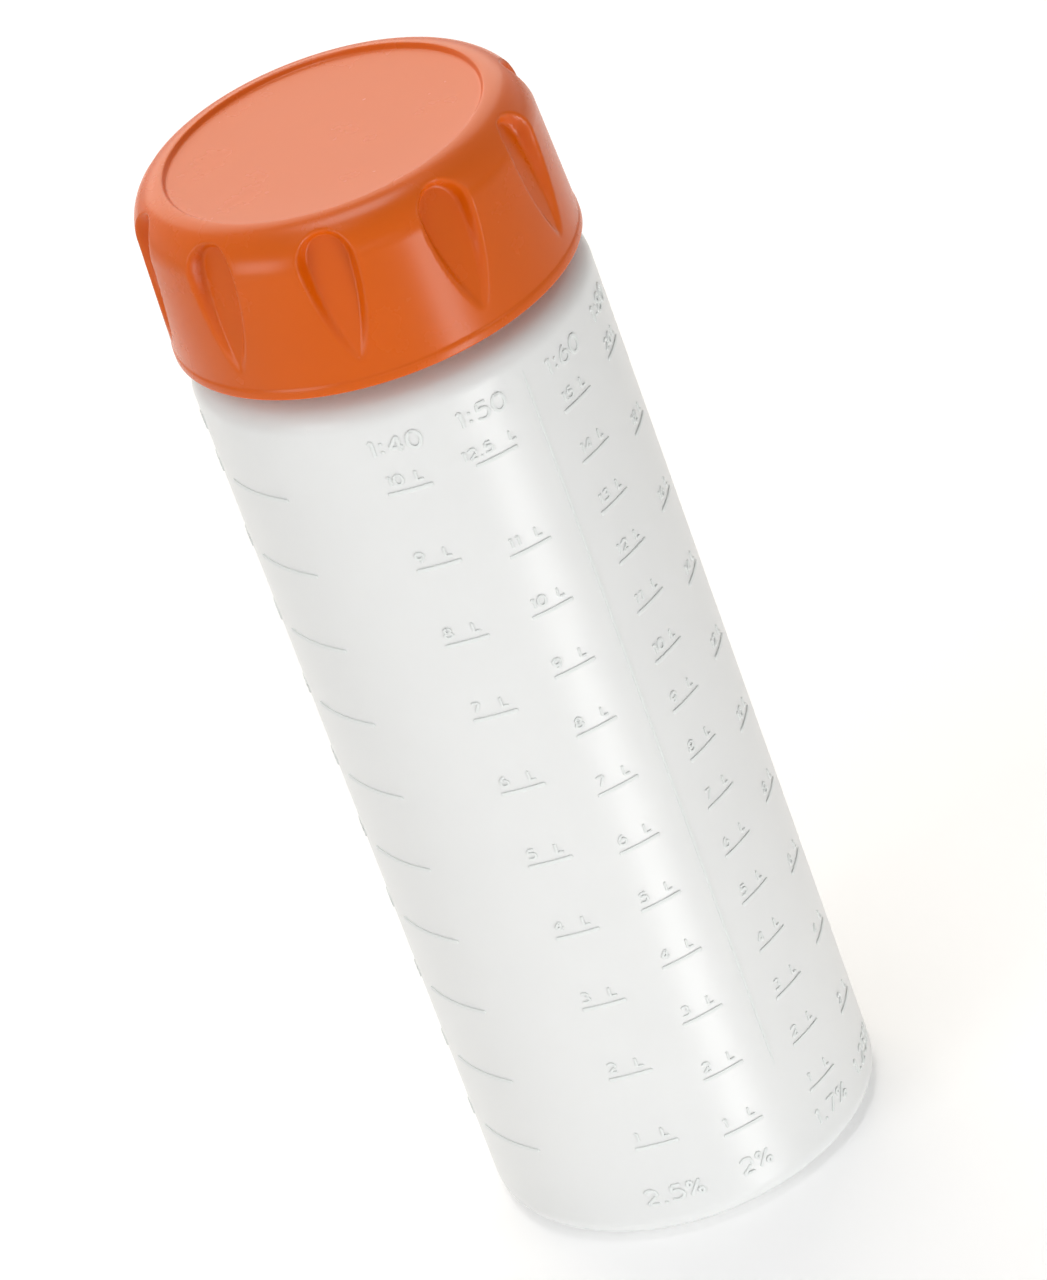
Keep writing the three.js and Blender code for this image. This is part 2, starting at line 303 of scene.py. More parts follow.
def link_object(name, mesh):
    """An object for a mesh, in the scene."""
    piece = bpy.data.objects.new(name, mesh)
    bpy.context.scene.collection.objects.link(piece)
    return piece


def arc(radius, height, semi_radius, semi_height, start, end, steps):
    """Points of an elliptical arc in a profile, from one angle to another in degrees."""
    points = []
    for i in range(steps + 1):
        angle = math.radians(start + (end - start) * i / steps)
        points.append((radius + semi_radius * math.cos(angle),
                       height + semi_height * math.sin(angle)))
    return points


def straight(start, end, steps):
    """Points between two profile points, without the first one."""
    return [tuple(a + (b - a) * i / steps for a, b in zip(start, end))
            for i in range(1, steps + 1)]


def revolve(name, profile, around, closed):
    """Turns a profile with its material on the left about +Z.

    A closed profile is a ring; an open one starts and ends on the axis.
    """
    mesh = bpy.data.meshes.new(name)
    work = bmesh.new()
    rings = []
    for radius, height in profile:
        if radius < 1e-7:
            rings.append([work.verts.new((0, 0, height))])
            continue
        ring = []
        for i in range(around):
            angle = 2 * math.pi * i / around
            place = (radius * math.sin(angle), -radius * math.cos(angle), height)
            ring.append(work.verts.new(place))
        rings.append(ring)
    pairs = list(zip(rings, rings[1:]))
    if closed:
        pairs.append((rings[-1], rings[0]))
    for low, high in pairs:
        for i in range(around):
            k = (i + 1) % around
            if len(low) == 1:
                work.faces.new((low[0], high[k], high[i]))
            elif len(high) == 1:
                work.faces.new((low[i], low[k], high[0]))
            else:
                work.faces.new((low[i], low[k], high[k], high[i]))
    for face in work.faces:
        face.smooth = True
    work.to_mesh(mesh)
    work.free()
    return mesh


def thread_ridge(name, wall_radius, side, top, sizes, around=120, turns=1.5):
    """A right-hand thread's ridge: outwards for side 1, inwards for side -1.

    It rises out of the wall and sinks back into it over `run_out` degrees.
    """
    root = 0.3 * MM
    crest = 0.45 * MM
    half = 1.0 * MM
    run_out = 20.0
    start = 1.2
    section = [(-root, -half), (0, -half * 0.96)]
    section += [(sizes.thread_depth * t, -half + (half - crest) * t) for t in (0.3, 0.7, 0.92)]
    section += [(sizes.thread_depth, -crest * 0.8), (sizes.thread_depth, crest * 0.8)]
    section += [(sizes.thread_depth * t, half - (half - crest) * t) for t in (0.92, 0.7, 0.3)]
    section += [(0, half * 0.96), (-root, half)]
    mesh = bpy.data.meshes.new(name)
    work = bmesh.new()
    steps = int(around * turns)
    sweep = 360 * turns
    rows = []
    for i in range(steps + 1):
        turn = sweep * i / steps
        full = min(1, turn / run_out, (sweep - turn) / run_out)
        full = math.sin(full * math.pi / 2)
        angle = math.radians(start + turn)
        row = []
        for out, up in section:
            reach = wall_radius + side * (out * full if out > 0 else out)
            height = top - sizes.thread_pitch * turns * (1 - i / steps) + up
            row.append(work.verts.new((reach * math.cos(angle), reach * math.sin(angle), height)))
        rows.append(row)
    count = len(section)
    for low, high in zip(rows, rows[1:]):
        for i in range(count):
            k = (i + 1) % count
            work.faces.new((low[i], low[k], high[k], high[i]))
    work.faces.new(rows[0])
    work.faces.new(reversed(rows[-1]))
    bmesh.ops.recalc_face_normals(work, faces=work.faces)
    for face in work.faces:
        face.smooth = True
    work.to_mesh(mesh)
    work.free()
    return mesh


def joined(name, meshes):
    """One mesh that holds all the given ones."""
    work = bmesh.new()
    for mesh in meshes:
        work.from_mesh(mesh)
    mesh = bpy.data.meshes.new(name)
    work.to_mesh(mesh)
    work.free()
    return mesh


def body_profile(sizes):
    """The body's section: dome, foot, wall, shoulder, neck and the same way back inside."""
    foot = sizes.radius - sizes.base_round
    ring = foot - sizes.ring_width
    shoulder = sizes.shoulder_height - sizes.shoulder_round
    inner = sizes.radius - sizes.wall
    inner_round = sizes.base_round - sizes.wall
    neck = sizes.neck_radius
    mouth = neck - sizes.neck_wall
    floor = sizes.base_wall
    lip = 0.45 * MM
    root = 0.5 * MM
    dome = [(ring * i / 14, sizes.push_up * (0.5 + 0.5 * math.cos(math.pi * i / 14)))
            for i in range(15)]
    outer = dome + straight((ring, 0), (foot, 0), 3)
    outer += arc(foot, sizes.base_round, sizes.base_round, sizes.base_round, -85, 0, 14)
    outer += straight((sizes.radius, sizes.base_round), (sizes.radius, shoulder), 60)
    outer += arc(sizes.radius - sizes.shoulder_round, shoulder,
                 sizes.shoulder_round, sizes.shoulder_round, 6, 84, 14)
    outer += arc(neck + root, sizes.shoulder_height + root, root, root, -90, -180, 5)
    outer += straight(outer[-1], (neck, RIM_HEIGHT - lip), 16)
    outer += arc(neck - lip, RIM_HEIGHT - lip, lip, lip, 15, 90, 5)
    inside = arc(mouth + lip, RIM_HEIGHT - lip, lip, lip, 90, 180, 5)
    inside += straight(inside[-1], (mouth, sizes.shoulder_height - sizes.wall), 12)
    inside += arc(sizes.radius - sizes.shoulder_round, shoulder,
                  sizes.shoulder_round - sizes.wall, sizes.shoulder_round - sizes.wall, 90, 0, 8)
    inside += straight(inside[-1], (inner, floor + inner_round), 20)
    inside += arc(inner - inner_round, floor + inner_round, inner_round, inner_round, -10, -90, 8)
    inside += [(radius, height + floor) for radius, height in reversed(dome)]
    return outer + inside


class OILBOTTLE_OT_body(bpy.types.Operator):
    """Make the blow-moulded body with its neck and thread."""

    bl_idname = "oil_bottle.body"
    bl_label = "Bottle body"

    def execute(self, context):
        sizes = context.scene.bottle_body
        shell = revolve("shell", body_profile(sizes), sizes.around, False)
        top = RIM_HEIGHT - sizes.thread_below_rim
        ridge = thread_ridge("thread", sizes.neck_radius, 1, top, sizes)
        piece = link_object("bottle_shell", joined("bottle_shell", [shell, ridge]))
        piece.data.materials.append(milky_polyethylene(context.scene.bottle_colours.milky))
        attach(piece, "bottle")
        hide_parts("bottle_body")
        return {"FINISHED"}


class OILBOTTLE_OT_cap(bpy.types.Operator):
    """Make the orange screw cap with its scooped grips and recessed disc."""

    bl_idname = "oil_bottle.cap"
    bl_label = "Screw cap"

    def execute(self, context):
        sizes = context.scene.bottle_cap
        sector = cap_sector(sizes)
        piece = ring_of_sectors("cap_shell", sector, sizes.grips, sizes.grip_azimuth,
                                orange_polypropylene(context.scene.bottle_colours.orange))
        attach(piece, "cap")
        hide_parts("screw_cap")
        body = context.scene.bottle_body
        top = RIM_HEIGHT - sizes.thread_below_rim
        mesh = thread_ridge("cap_thread", sizes.inner_radius, -1, top, body)
        ridge = link_object("cap_thread", mesh)
        ridge.data.materials.append(piece.data.materials[0])
        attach(ridge, "cap")
        return {"FINISHED"}


def cap_profile(sizes):
    """The cap's section with its material on the left, from the underside of the top plate
    down inside, round the lower edge, up outside and over the shoulder to the disc's centre."""
    under = SEAL_HIGH.z + 0.3 * MM
    shelf = SEAL_LOW.z
    pocket = 22.9 * MM
    side_top = CAP_TOP - sizes.shoulder_height
    disc = CAP_TOP - sizes.disc_depth
    rim = sizes.side_radius - sizes.shoulder_width
    lip = 0.35 * MM
    lead = sizes.inner_radius + 1.2 * MM
    inside = [(0, under), (8 * MM, under), (16 * MM, under), (pocket - 0.4 * MM, under)]
    inside += [(pocket, under - 0.3 * MM), (pocket, shelf)]
    inside += straight(inside[-1], (sizes.inner_radius, shelf - 3.6 * MM), 3)
    inside += straight(inside[-1], (sizes.inner_radius, CAP_EDGE + 2.4 * MM), 6)
    inside += straight(inside[-1], (lead, CAP_EDGE + 0.3 * MM), 2)
    inside += [(lead + 0.2 * MM, CAP_EDGE + 0.05 * MM), (lead + 0.6 * MM, CAP_EDGE)]
    bead = 1.45 * MM
    outside = arc(sizes.edge_radius - lip, CAP_EDGE + lip, lip, lip, -90, 0, 5)
    outside += [(sizes.edge_radius - 0.01 * MM, CAP_EDGE + bead * 0.6),
                (sizes.edge_radius - 0.03 * MM, CAP_EDGE + bead * 0.9),
                (sizes.edge_radius - 0.10 * MM, CAP_EDGE + bead),
                (sizes.edge_radius - 0.16 * MM, CAP_EDGE + bead * 1.08)]
    outside += straight(outside[-1], (sizes.side_radius, side_top), 56)
    shoulder = arc(rim, side_top, sizes.shoulder_width, sizes.shoulder_height, 0, 90, 40)[1:]
    top = [(rim - 0.08 * MM, CAP_TOP - 0.02 * MM), (rim - 0.22 * MM, CAP_TOP - 0.12 * MM),
           (rim - 0.34 * MM, CAP_TOP - 0.30 * MM), (rim - 0.46 * MM, CAP_TOP - 0.50 * MM),
           (rim - 0.62 * MM, disc - 0.01 * MM), (rim - 0.9 * MM, disc - 0.03 * MM)]
    top += [(rim - 2 * MM, disc - 0.06 * MM), (rim - 5 * MM, disc - 0.14 * MM)]
    top += [(13 * MM, disc - 0.18 * MM), (8 * MM, disc - 0.22 * MM), (4 * MM, disc - 0.24 * MM)]
    top += [(0, disc - 0.25 * MM)]
    return inside, outside + shoulder, top


def grip_outline(sizes):
    """Half widths of a grip's floor along its length, as a function."""
    half = sizes.grip_width / 2
    round_end = 3.3 * MM
    body = sizes.grip_length - round_end
    controls = ((0, 0), (0.58 * half, 0.28 * body), (half, 0.65 * body), (half, body))

    def bezier(t):
        weights = ((1 - t) ** 3, 3 * t * (1 - t) ** 2, 3 * t * t * (1 - t), t ** 3)
        return [sum(w * c[k] for w, c in zip(weights, controls)) for k in (0, 1)]

    outline = [bezier(i / 24) for i in range(25)]
    outline += [(half * math.cos(math.radians(a)), body + round_end * math.sin(math.radians(a)))
                for a in range(5, 91, 5)]
    return outline


def distance_inside(point, outline):
    """Signed distance of a point to the outline mirrored about its length: positive inside."""
    x, y = abs(point[0]), point[1]
    best = 1.0
    inside = False
    for (ax, ay), (bx, by) in zip(outline, outline[1:]):
        dx, dy = bx - ax, by - ay
        t = min(max(((x - ax) * dx + (y - ay) * dy) / (dx * dx + dy * dy), 0), 1)
        best = min(best, math.hypot(x - ax - t * dx, y - ay - t * dy))
        if (ay <= y < by) and x < ax + dx * (y - ay) / dy:
            inside = True
    return best if inside else -best


def scoop(radius, angle, height, sizes, outline):
    """How far a point of the cap's skin moves in towards a grip's leaning floor."""
    lean = math.radians(sizes.grip_lean)
    side_top = CAP_TOP - sizes.shoulder_height
    share = sizes.grip_above_edge / (side_top - CAP_EDGE)
    tip_radius = sizes.edge_radius + (sizes.side_radius - sizes.edge_radius) * share
    lift = height - CAP_EDGE - sizes.grip_above_edge
    point_inset = 0.32 * MM
    inset = tip_radius - point_inset - radius * math.cos(angle)
    depth = lift * math.sin(lean) - inset * math.cos(lean)
    along = lift * math.cos(lean) + inset * math.sin(lean)
    beyond = -distance_inside((radius * math.sin(angle), along), outline) / sizes.grip_flare
    if depth <= 0 or beyond >= 1:
        return 0.0
    # Crisp where the wall meets the floor, and soft where it meets the skin
    return depth * (1 - max(beyond, 0)) ** 1.2


def cap_sector(sizes):
    """One sector of the cap, centred on a grip at azimuth 0, as a mesh."""
    inside, outside, top = cap_profile(sizes)
    profile = inside + outside + top
    first = len(inside)
    last = first + len(outside)
    outline = grip_outline(sizes)
    columns = 56
    half_sector = math.pi / sizes.grips
    lean = math.radians(sizes.grip_lean)
    work = bmesh.new()
    rows = []
    for index, (radius, height) in enumerate(profile):
        if radius < 1e-7:
            rows.append([work.verts.new((0, 0, height))])
            continue
        row = []
        for i in range(columns + 1):
            share = 2 * i / columns - 1
            # Columns stand closer together over the grip than beside it
            angle = half_sector * (0.72 * share + 0.28 * share ** 3)
            x, y, z = radius * math.sin(angle), -radius * math.cos(angle), height
            if first <= index < last:
                cut = scoop(radius, angle, height, sizes, outline)
                y += cut * math.cos(lean)
                z -= cut * math.sin(lean)
            row.append(work.verts.new((x, y, z)))
        rows.append(row)
    for low, high in zip(rows, rows[1:]):
        for i in range(columns):
            if len(low) == 1:
                work.faces.new((low[0], high[i + 1], high[i]))
            elif len(high) == 1:
                work.faces.new((low[i], low[i + 1], high[0]))
            else:
                work.faces.new((low[i], low[i + 1], high[i + 1], high[i]))
    mesh = bpy.data.meshes.new("cap_sector")
    work.to_mesh(mesh)
    work.free()
    return mesh


def geometry_tree(name, values):
    """A Geometry Nodes tree with a named input for each value, its input node, and the values by
    their sockets' identifiers."""
    tree = bpy.data.node_groups.new(name, "GeometryNodeTree")
    tree.interface.new_socket("Geometry", in_out="INPUT", socket_type="NodeSocketGeometry")
    settings = {}
    for label, value in values.items():
        kind = "NodeSocketInt" if isinstance(value, int) else "NodeSocketFloat"
        socket = tree.interface.new_socket(label, in_out="INPUT", socket_type=kind)
        settings[socket.identifier] = value
    tree.interface.new_socket("Geometry", in_out="OUTPUT", socket_type="NodeSocketGeometry")
    return tree, add_node(tree, "NodeGroupInput"), settings


def ring_of_sectors(name, sector, count, azimuth, material):
    """Repeats a sector round the axis with Geometry Nodes and welds it into one shell."""
    source = link_object(name + "_sector", sector)
    tree, given, settings = geometry_tree("ring_of_sectors", {
        "Count": count, "Azimuth": math.radians(azimuth)})
    points = add_node(tree, "GeometryNodePoints", inputs={"Count": given.outputs["Count"]})
    index = add_node(tree, "GeometryNodeInputIndex")
    step = add_node(tree, "ShaderNodeMath", {"operation": "DIVIDE"}, {
        0: 2 * math.pi, 1: given.outputs["Count"]})
    turn = add_node(tree, "ShaderNodeMath", {"operation": "MULTIPLY_ADD"}, {
        0: index.outputs[0], 1: step.outputs[0], 2: given.outputs["Azimuth"]})
    rotation = add_node(tree, "ShaderNodeCombineXYZ", inputs={"Z": turn.outputs[0]})
    copies = add_node(tree, "GeometryNodeInstanceOnPoints", inputs={
        "Points": points.outputs[0], "Instance": given.outputs["Geometry"],
        "Rotation": rotation.outputs[0]})
    real = add_node(tree, "GeometryNodeRealizeInstances", inputs={
        "Geometry": copies.outputs[0]})
    welded = add_node(tree, "GeometryNodeMergeByDistance", inputs={
        "Geometry": real.outputs[0], "Distance": 0.004 * MM})
    smooth = add_node(tree, "GeometryNodeSetShadeSmooth", inputs={
        "Geometry": welded.outputs[0]})
    painted = add_node(tree, "GeometryNodeSetMaterial", inputs={
        "Geometry": smooth.outputs[0], "Material": material})
    add_node(tree, "NodeGroupOutput", inputs={"Geometry": painted.outputs[0]})
    return applied(name, source, tree, settings)


def applied(name, source, tree, values):
    """The plain mesh that a Geometry Nodes tree makes of an object, as a new object."""
    modifier = source.modifiers.new("nodes", "NODES")
    modifier.node_group = tree
    for identifier, value in values.items():
        modifier[identifier] = value
    bpy.context.view_layer.update()
    graph = bpy.context.evaluated_depsgraph_get()
    mesh = bpy.data.meshes.new_from_object(source.evaluated_get(graph))
    mesh.name = name
    bpy.data.objects.remove(source)
    return link_object(name, mesh)


class OILBOTTLE_OT_seal(bpy.types.Operator):
    """Make the foam disc that seals the mouth."""

    bl_idname = "oil_bottle.seal"
    bl_label = "Cap seal"

    def execute(self, context):
        edge = 0.2 * MM
        radius = SEAL_HIGH.x
        low, high = SEAL_LOW.z, SEAL_HIGH.z
        profile = [(0, low), (8 * MM, low), (16 * MM, low)]
        profile += arc(radius - edge, low + edge, edge, edge, -90, 0, 4)
        profile += arc(radius - edge, high - edge, edge, edge, 0, 90, 4)
        profile += [(16 * MM, high), (8 * MM, high), (0, high)]
        piece = link_object("seal_disc", revolve("seal_disc", profile, 120, False))
        piece.data.materials.append(polyethylene_foam(context.scene.bottle_colours.foam))
        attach(piece, "seal")
        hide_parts("cap_seal")
        return {"FINISHED"}


# Strokes of each character in a box 1 high: a line is (x, y, x, y), and an arc is
# (centre x, centre y, radius x, radius y, from, to), with angles in degrees.
GLYPHS = {
    "0": (0.78, [(0.39, 0.5, 0.37, 0.5, 60, 490)]),
    "1": (0.42, [(0.08, 0.80, 0.32, 1.0), (0.32, 1.0, 0.32, 0.0)]),
    "2": (0.76, [(0.37, 0.69, 0.33, 0.31, 165, -38), (0.63, 0.50, 0.03, 0.0),
                 (0.03, 0.0, 0.74, 0.0)]),
    "3": (0.74, [(0.35, 0.75, 0.29, 0.25, 155, -85), (0.35, 0.26, 0.36, 0.26, 80, -155)]),
    "4": (0.80, [(0.56, 0.0, 0.56, 1.0), (0.56, 1.0, 0.02, 0.30), (0.02, 0.30, 0.78, 0.30)]),
    "5": (0.76, [(0.68, 1.0, 0.13, 1.0), (0.13, 1.0, 0.08, 0.54),
                 (0.36, 0.33, 0.37, 0.33, 142, -150)]),
    "6": (0.76, [(0.38, 0.31, 0.35, 0.31, 60, 490), (0.66, 0.31, 0.63, 0.69, 105, 180)]),
    "7": (0.74, [(0.02, 1.0, 0.72, 1.0), (0.72, 1.0, 0.26, 0.0)]),
    "8": (0.76, [(0.37, 0.76, 0.28, 0.24, 60, 490), (0.37, 0.26, 0.36, 0.26, 60, 490)]),
    "9": (0.76, [(0.37, 0.69, 0.35, 0.31, 60, 490), (0.09, 0.69, 0.63, 0.69, -75, 0)]),
    "L": (0.72, [(0.08, 1.0, 0.08, 0.0), (0.08, 0.0, 0.68, 0.0)]),
    "m": (0.98, [(0.06, 0.62, 0.06, 0.0), (0.25, 0.42, 0.19, 0.2, 180, 0), (0.44, 0.42, 0.44, 0.0),
                 (0.63, 0.42, 0.19, 0.2, 180, 0), (0.82, 0.42, 0.82, 0.0)]),
    "l": (0.24, [(0.08, 1.0, 0.08, 0.0)]),
    ":": (0.30, [(0.04, 0.20, 0.24, 0.20), (0.04, 0.70, 0.24, 0.70)]),
    ".": (0.28, [(0.02, 0.0, 0.26, 0.0)]),
    "%": (0.98, [(0.80, 1.0, 0.12, 0.0), (0.18, 0.80, 0.14, 0.18, 0, 430),
                 (0.76, 0.20, 0.14, 0.18, 0, 430)]),
    " ": (0.55, []),
}


def stroke_points(stroke, height):
    """A stroke's points in metres, dense towards its ends, so that the ends can be rounded."""
    if len(stroke) == 4:
        x0, y0, x1, y1 = (value * height for value in stroke)
        length = math.hypot(x1 - x0, y1 - y0)

        def at(t):
            return x0 + (x1 - x0) * t, y0 + (y1 - y0) * t
    else:
        cx, cy, rx, ry, start, end = stroke
        length = math.radians(abs(end - start)) * (rx + ry) / 2 * height

        def at(t):
            angle = math.radians(start + (end - start) * t)
            return (cx + rx * math.cos(angle)) * height, (cy + ry * math.sin(angle)) * height
    ends = [d * MM / length for d in (0, 0.03, 0.09, 0.18) if d * MM < 0.45 * length]
    count = max(1, round(length / (0.3 * MM)))
    inner = [i / count for i in range(1, count)]
    inner = [t for t in inner if ends[-1] * 1.3 < t < 1 - ends[-1] * 1.3]
    places = ends + inner + [1 - t for t in reversed(ends)]
    return [at(t) for t in places]


def text_width(text, height, gap):
    """How wide a line of text is."""
    return sum(GLYPHS[c][0] * height for c in text) + gap * (len(text) - 1)


def text_strokes(text, left, base, height, gap):
    """The strokes of a line of text, as lists of points on the unrolled wall."""
    strokes = []
    for character in text:
        width, parts = GLYPHS[character]
        for part in parts:
            strokes.append([(left + x, base + y) for x, y in stroke_points(part, height)])
        left += width * height + gap
    return strokes


def raised_strokes(name, strokes, width, rise, radius, material):
    """Sweeps a flat-topped ridge along strokes drawn on the unrolled wall and rolls it round
    the body, with Geometry Nodes."""
    mesh = bpy.data.meshes.new(name)
    points, edges = [], []
    for stroke in strokes:
        first = len(points)
        points += [(x, y, 0) for x, y in stroke]
        edges += [(first + i, first + i + 1) for i in range(len(stroke) - 1)]
    mesh.from_pydata(points, edges, [])
    source = link_object(name + "_drawing", mesh)
    section = link_object(name + "_section", ridge_section(width, rise))
    tree, given, settings = geometry_tree("raised_strokes", {
        "Wall radius": radius, "Round end": width / 2})
    curve = add_node(tree, "GeometryNodeMeshToCurve", inputs={0: given.outputs["Geometry"]})
    upright = add_node(tree, "GeometryNodeSetCurveNormal", inputs={"Curve": curve.outputs[0]})
    upright.mode = "Z_UP"
    along = add_node(tree, "GeometryNodeSplineParameter")
    whole = add_node(tree, "GeometryNodeSplineLength")
    rest = add_node(tree, "ShaderNodeMath", {"operation": "SUBTRACT"}, {
        0: whole.outputs["Length"], 1: along.outputs["Length"]})
    near = add_node(tree, "ShaderNodeMath", {"operation": "MINIMUM"}, {
        0: along.outputs["Length"], 1: rest.outputs[0]})
    share = add_node(tree, "ShaderNodeMath", {"operation": "DIVIDE", "use_clamp": True}, {
        0: near.outputs[0], 1: given.outputs["Round end"]})
    fall = add_node(tree, "ShaderNodeMath", {"operation": "SUBTRACT"}, {0: 1, 1: share.outputs[0]})
    square = add_node(tree, "ShaderNodeMath", {"operation": "MULTIPLY"}, {
        0: fall.outputs[0], 1: fall.outputs[0]})
    left = add_node(tree, "ShaderNodeMath", {"operation": "SUBTRACT"}, {
        0: 1.0004, 1: square.outputs[0]})
    fullness = add_node(tree, "ShaderNodeMath", {"operation": "SQRT"}, {0: left.outputs[0]})
    profile = add_node(tree, "GeometryNodeObjectInfo", inputs={"Object": section})
    loop = add_node(tree, "GeometryNodeMeshToCurve", inputs={0: profile.outputs["Geometry"]})
    ridge = add_node(tree, "GeometryNodeCurveToMesh", inputs={
        "Curve": upright.outputs[0], "Profile Curve": loop.outputs[0],
        "Scale": fullness.outputs[0], "Fill Caps": True})
    place = add_node(tree, "GeometryNodeInputPosition")
    part = add_node(tree, "ShaderNodeSeparateXYZ", inputs={0: place.outputs[0]})
    angle = add_node(tree, "ShaderNodeMath", {"operation": "DIVIDE"}, {
        0: part.outputs["X"], 1: given.outputs["Wall radius"]})
    reach = add_node(tree, "ShaderNodeMath", {"operation": "ADD"}, {
        0: part.outputs["Z"], 1: given.outputs["Wall radius"]})
    sine = add_node(tree, "ShaderNodeMath", {"operation": "SINE"}, {0: angle.outputs[0]})
    cosine = add_node(tree, "ShaderNodeMath", {"operation": "COSINE"}, {0: angle.outputs[0]})
    x = add_node(tree, "ShaderNodeMath", {"operation": "MULTIPLY"}, {
        0: reach.outputs[0], 1: sine.outputs[0]})
    y = add_node(tree, "ShaderNodeMath", {"operation": "MULTIPLY"}, {
        0: reach.outputs[0], 1: cosine.outputs[0]})
    back = add_node(tree, "ShaderNodeMath", {"operation": "MULTIPLY"}, {0: y.outputs[0], 1: -1})
    rolled = add_node(tree, "ShaderNodeCombineXYZ", inputs={
        "X": x.outputs[0], "Y": back.outputs[0], "Z": part.outputs["Y"]})
    bent = add_node(tree, "GeometryNodeSetPosition", inputs={
        "Geometry": ridge.outputs[0], "Position": rolled.outputs[0]})
    smooth = add_node(tree, "GeometryNodeSetShadeSmooth", inputs={"Geometry": bent.outputs[0]})
    real = add_node(tree, "GeometryNodeRealizeInstances", inputs={
        "Geometry": smooth.outputs[0]})
    painted = add_node(tree, "GeometryNodeSetMaterial", inputs={
        "Geometry": real.outputs[0], "Material": material})
    add_node(tree, "NodeGroupOutput", inputs={"Geometry": painted.outputs[0]})
    piece = applied(name, source, tree, settings)
    bpy.data.objects.remove(section)
    work = bmesh.new()
    work.from_mesh(piece.data)
    bmesh.ops.remove_doubles(work, verts=work.verts, dist=1e-7)
    bmesh.ops.recalc_face_normals(work, faces=work.faces)
    work.to_mesh(piece.data)
    work.free()
    return piece


def ridge_section(width, rise):
    """The closed section of a raised stroke: steep sides, a flat top and a buried foot."""
    half = width / 2
    foot = 0.12 * MM
    side = [(1.0, 0.0), (0.99, 0.6), (0.96, 0.88), (0.90, 1.0), (0.45, 1.0)]
    # The sweep turns the section's +Y into the wall
    right = [(half * across, -rise * up, 0) for across, up in side]
    left = [(-x, y, 0) for x, y, _ in reversed(right)]
    points = [(half, foot, 0)] + right + left + [(-half, foot, 0)]
    mesh = bpy.data.meshes.new("ridge_section")
    mesh.from_pydata(points, [(i, (i + 1) % len(points)) for i in range(len(points))], [])
    return mesh


def oil_height(millilitres, body, marks):
    """Height of the oil's surface for a volume."""
    inner = body.radius - body.wall
    return marks.scale_zero + millilitres * 1e-6 / (math.pi * inner * inner)


# Mixing scales: one part of oil in so many, the azimuth of the bars, and the litres marked
MIXES = [
    (40, -11.1, [1, 2, 3, 4, 5, 6, 7, 8, 9, 10], "2.5%"),
    (50, 13.9, [1, 2, 3, 4, 5, 6, 7, 8, 9, 10, 11, 12.5], "2%"),
    (60, 43.7, [1, 2, 3, 4, 5, 6, 7, 8, 9, 10, 11, 12, 13, 14, 15], "1.7%"),
    (80, 69.5, [2, 4, 6, 8, 10, 12, 14, 16, 18, 20], "1.25%"),
]
VOLUME_AZIMUTH = -61.5
TOP_HEADING = 125.8 * MM
FOOT_HEADING = 5.7 * MM
NUMERAL_GAP = 0.34 * MM
HEADING_GAP = 0.55 * MM
UNIT_GAP = 0.5 * MM
NUMERAL_ABOVE_BAR = 1.12 * MM
# Left end of a bar to its numeral and to its unit, and the same for a numeral that needs more room
NUMERAL_START, UNIT_START = 0.45 * MM, 4.15 * MM
LONG_NUMERAL_START, LONG_UNIT_START = -1.35 * MM, 5.3 * MM
VOLUME_TEXT_GAP = 4.6 * MM


class OILBOTTLE_OT_scales(bpy.types.Operator):
    """Make the raised bars, numerals and headings of the scales."""

    bl_idname = "oil_bottle.scales"
    bl_label = "Raised scales"

    def execute(self, context):
        body = context.scene.bottle_body
        marks = context.scene.bottle_marks
        material = bpy.data.materials["milky_polyethylene"]
        bars, numerals, headings = [], [], []
        for parts, azimuth, litres, share in MIXES:
            middle = math.radians(azimuth) * body.radius
            left = middle - marks.bar_length / 2
            for litre in litres:
                height = oil_height(1000 * litre / parts, body, marks)
                bars.append(bar_points(middle, height, marks.bar_length))
                number = f"{litre:g}"
                start = left + NUMERAL_START
                unit = left + UNIT_START
                wide = text_width(number, marks.numeral, NUMERAL_GAP)
                if start + wide > unit - 0.45 * MM:
                    start = left + LONG_NUMERAL_START
                    unit = left + LONG_UNIT_START
                base = height + NUMERAL_ABOVE_BAR
                numerals += text_strokes(number, start, base, marks.numeral, NUMERAL_GAP)
                numerals += text_strokes("L", unit, base, marks.numeral, NUMERAL_GAP)
            for text, base in ((f"1:{parts}", TOP_HEADING), (share, FOOT_HEADING)):
                wide = text_width(text, marks.heading, HEADING_GAP)
                headings += text_strokes(text, middle - wide / 2, base, marks.heading, HEADING_GAP)
        middle = math.radians(VOLUME_AZIMUTH) * body.radius
        right = middle - marks.long_bar / 2 - VOLUME_TEXT_GAP
        for volume in range(25, 251, 25):
            height = oil_height(volume, body, marks)
            bars.append(bar_points(middle, height, marks.long_bar))
            wide = text_width(f"{volume}", marks.numeral, NUMERAL_GAP)
            numerals += text_strokes(f"{volume}", right - wide, height - marks.numeral / 2,
                                     marks.numeral, NUMERAL_GAP)
        wide = text_width("ml", marks.heading, UNIT_GAP)
        headings += text_strokes("ml", right - wide, TOP_HEADING, marks.heading, UNIT_GAP)
        for name, strokes, width in (("scale_bars", bars, marks.bar_width),
                                     ("scale_numerals", numerals, marks.stroke),
                                     ("scale_headings", headings, marks.heading_stroke)):
            piece = raised_strokes(name, strokes, width, marks.rise, body.radius, material)
            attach(piece, "bottle")
        return {"FINISHED"}


def bar_points(middle, height, length):
    """The points of a mark, close together at its round ends."""
    ends = [d * MM for d in (0, 0.03, 0.09, 0.18, 0.30)]
    count = round(length / (0.8 * MM))
    places = ends + [length * i / count for i in range(1, count)]
    places += [length - place for place in reversed(ends)]
    return [(middle - length / 2 + place, height) for place in places]


